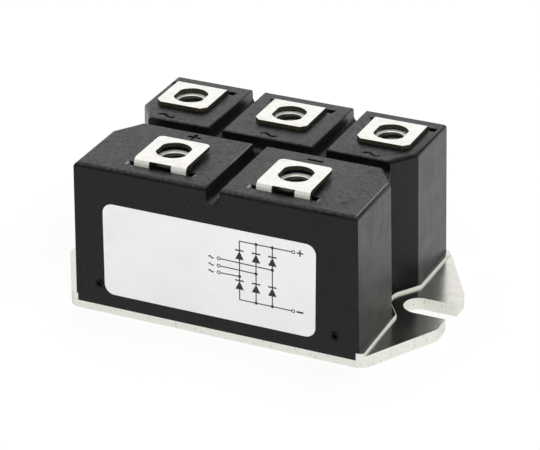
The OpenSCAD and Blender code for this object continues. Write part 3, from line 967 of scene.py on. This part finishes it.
class RECTIFIER_OT_inner(bpy.types.Operator):
    """Give the frame's own solids inside the housing their finishes"""

    bl_idname = "rectifier.inner"
    bl_label = "Substrate and chips"

    def execute(self, context):
        for part in frame["record"]["subparts"]:
            node = frame["nodes"][part["node"]]
            material = material_for(part["material_slot"])
            if not node.material_slots:
                node.data.materials.append(material)
            for slot in node.material_slots:
                slot.material = material
        return {"FINISHED"}


# ---------- the stage ----------

LAMPS = (("key", (0.34, -0.46, 0.52), (0.3, 0.3), 2.3, True),
         ("overhead", (-0.12, 0.3, 0.6), (0.5, 0.4), 1.2, False))   # watts; seen in mirrors or not
LAMPS_AIM = (0.0, 0.0, 0.014)
FLOOR_RADIUS, FLOOR_GAP = 3.0, 0.04 * MM


def by_ray(tree, plain, **shown):
    """The plain shader, except that the rays named Is ... Ray meet the shaders given for them."""
    path = add_node(tree, "ShaderNodeLightPath").outputs
    for ray, shader in shown.items():
        mix = add_node(tree, "ShaderNodeMixShader", path[f"Is {ray} Ray"], plain, shader)
        plain = mix.outputs["Shader"]
    return plain


def glow(tree, kind, strength):
    """A white Background or Emission shader whose strength is a number or a socket."""
    return add_node(tree, kind, Color=WHITE, Strength=strength).outputs[0]


def ramp_along(tree, vector, axis, start, end, low, high):
    """Smooth step from low to high of a vector's part along an axis."""
    part = add_node(tree, "ShaderNodeVectorMath", vector, axis, operation="DOT_PRODUCT")
    return add_node(tree, "ShaderNodeMapRange", part.outputs["Value"], start, end, low, high,
                    interpolation_type="SMOOTHSTEP").outputs["Result"]


class RECTIFIER_OT_stage(bpy.types.Operator):
    """Set the pale floor, the white surroundings, the soft boxes and the camera"""

    bl_idname = "rectifier.stage"
    bl_label = "Stage"

    def execute(self, context):
        scene, stage = context.scene, context.scene.rectifier_stage
        self.floor()
        self.surroundings(scene, stage.ambience)
        for lamp in LAMPS:
            self.soft_box(scene, stage.lamps, *lamp)
        self.camera(scene, stage)
        scene.view_settings.view_transform = "Standard"
        return {"FINISHED"}

    def floor(self):
        """A white sheet, which mirrors bright behind the part and dimmer in front."""
        form = bmesh.new()
        bmesh.ops.create_circle(form, cap_ends=True, segments=96, radius=FLOOR_RADIUS)
        bmesh.ops.translate(form, verts=form.verts, vec=(0.0, 0.0, CAD_BOX[0].z - FLOOR_GAP))
        mesh = bpy.data.meshes.new("floor")
        form.to_mesh(mesh)
        form.free()
        material, tree, shader = finish("floor", (0.9, 0.9, 0.89), 0.9, specular=0.1)
        paper = spread(tree, grain(tree, 30.0 * MM))
        feed(tree, shader, Base_Color=blended(tree, paper, (0.89, 0.89, 0.88), (0.91, 0.91, 0.905)))
        lit = shader.outputs["BSDF"]
        bright = glow(tree, "ShaderNodeEmission", 1.03)
        pale = add_node(tree, "ShaderNodeMixShader", 0.8, lit, bright).outputs["Shader"]
        place = add_node(tree, "ShaderNodeTexCoord").outputs["Object"]
        level = ramp_along(tree, place, (0.0, 1.0, 0.0), start=-4.0 * MM, end=26.0 * MM,
                           low=0.5, high=1.0)
        mirrored = glow(tree, "ShaderNodeEmission", level)
        feed(tree, tree.nodes["Material Output"],
             Surface=by_ray(tree, lit, Glossy=mirrored, Transmission=pale, Camera=pale))
        put("floor", mesh, material)

    def surroundings(self, scene, strength):
        """White behind the part and overhead, dim in front and to the right, as a lit wall."""
        world = bpy.data.worlds.new("studio")
        world.use_nodes = True
        tree = world.node_tree
        plain = feed(tree, tree.nodes["Background"], Color=WHITE, Strength=strength)
        direction = add_node(tree, "ShaderNodeTexCoord").outputs["Generated"]
        wall = add_node(
            tree, "ShaderNodeMath",
            ramp_along(tree, direction, (-0.3, 0.95, 0.8), start=-0.3, end=0.6, low=0.1, high=1.0),
            ramp_along(tree, direction, (1.0, 0.0, 0.0), start=0.16, end=0.4, low=1.0, high=0.26),
            operation="MULTIPLY").outputs["Value"]
        mirrored = glow(tree, "ShaderNodeBackground", wall)
        white = glow(tree, "ShaderNodeBackground", 1.0)
        feed(tree, tree.nodes["World Output"],
             Surface=by_ray(tree, plain.outputs["Background"], Glossy=mirrored,
                            Transmission=white, Camera=white))
        scene.world = world

    def soft_box(self, scene, share, name, place, size, power, mirrored):
        """A rectangular lamp that looks at the part; share scales its power."""
        light = bpy.data.lights.new(name, "AREA")
        light.shape = "RECTANGLE"
        light.size, light.size_y = size
        light.energy = power * share
        lamp = bpy.data.objects.new(name, light)
        scene.collection.objects.link(lamp)
        lamp.location = place
        lamp.visible_glossy = mirrored
        aim = Vector(LAMPS_AIM) - Vector(place)
        lamp.rotation_euler = aim.to_track_quat("-Z", "Y").to_euler()

    def camera(self, scene, stage):
        """A camera on a ring round the point it looks at, as the stage's settings say."""
        data = bpy.data.cameras.new("camera")
        data.sensor_width = 36.0
        data.lens = stage.lens
        data.clip_start, data.clip_end = 0.01, 20.0
        camera = bpy.data.objects.new("camera", data)
        scene.collection.objects.link(camera)
        a, e = stage.azimuth, stage.elevation
        back = Vector((math.sin(a) * math.cos(e), -math.cos(a) * math.cos(e), math.sin(e)))
        facing = (-back).to_track_quat("-Z", "Y").to_matrix() @ Matrix.Rotation(stage.roll, 3, "Z")
        spot = Vector(stage.target) + back * stage.distance
        camera.matrix_world = Matrix.Translation(spot) @ facing.to_4x4()
        scene.camera = camera


class RECTIFIER_PT_panel(bpy.types.Panel):
    """Lists the pieces, the stage and their settings"""

    bl_label = "Bridge Rectifier"
    bl_idname = "RECTIFIER_PT_panel"
    bl_space_type = "VIEW_3D"
    bl_region_type = "UI"
    bl_category = "Rectifier"

    def draw(self, context):
        layout, scene = self.layout, context.scene
        for operator in OPERATORS:
            layout.operator(operator.bl_idname)
        for title, group in (("Sizes", scene.rectifier_sizes), ("Colours", scene.rectifier_colours),
                             ("Stage", scene.rectifier_stage)):
            box = layout.box()
            box.label(text=title)
            for name in group.__annotations__:
                box.prop(group, name)


GROUPS = {"rectifier_sizes": RectifierSizes, "rectifier_colours": RectifierColours,
          "rectifier_stage": RectifierStage}
OPERATORS = (RECTIFIER_OT_housing, RECTIFIER_OT_scars, RECTIFIER_OT_base_plate,
             RECTIFIER_OT_terminals, RECTIFIER_OT_nuts, RECTIFIER_OT_label, RECTIFIER_OT_diagram,
             RECTIFIER_OT_inner, RECTIFIER_OT_stage)
CLASSES = (*GROUPS.values(), *OPERATORS, RECTIFIER_PT_panel)


def register():
    """Adds the classes to Blender and the settings to its scenes."""
    for cls in CLASSES:
        bpy.utils.register_class(cls)
    for name, group in GROUPS.items():
        setattr(bpy.types.Scene, name, bpy.props.PointerProperty(type=group))


def unregister():
    """Takes them out again."""
    for name in GROUPS:
        delattr(bpy.types.Scene, name)
    for cls in reversed(CLASSES):
        bpy.utils.unregister_class(cls)


def main():
    """Dresses the frame piece by piece and sets the stage."""
    register()
    bpy.ops.rectifier.housing()
    bpy.ops.rectifier.scars()
    bpy.ops.rectifier.base_plate()
    bpy.ops.rectifier.terminals()
    bpy.ops.rectifier.nuts()
    bpy.ops.rectifier.label()
    bpy.ops.rectifier.diagram()
    bpy.ops.rectifier.inner()
    bpy.ops.rectifier.stage()


if __name__ == "__main__":
    main()
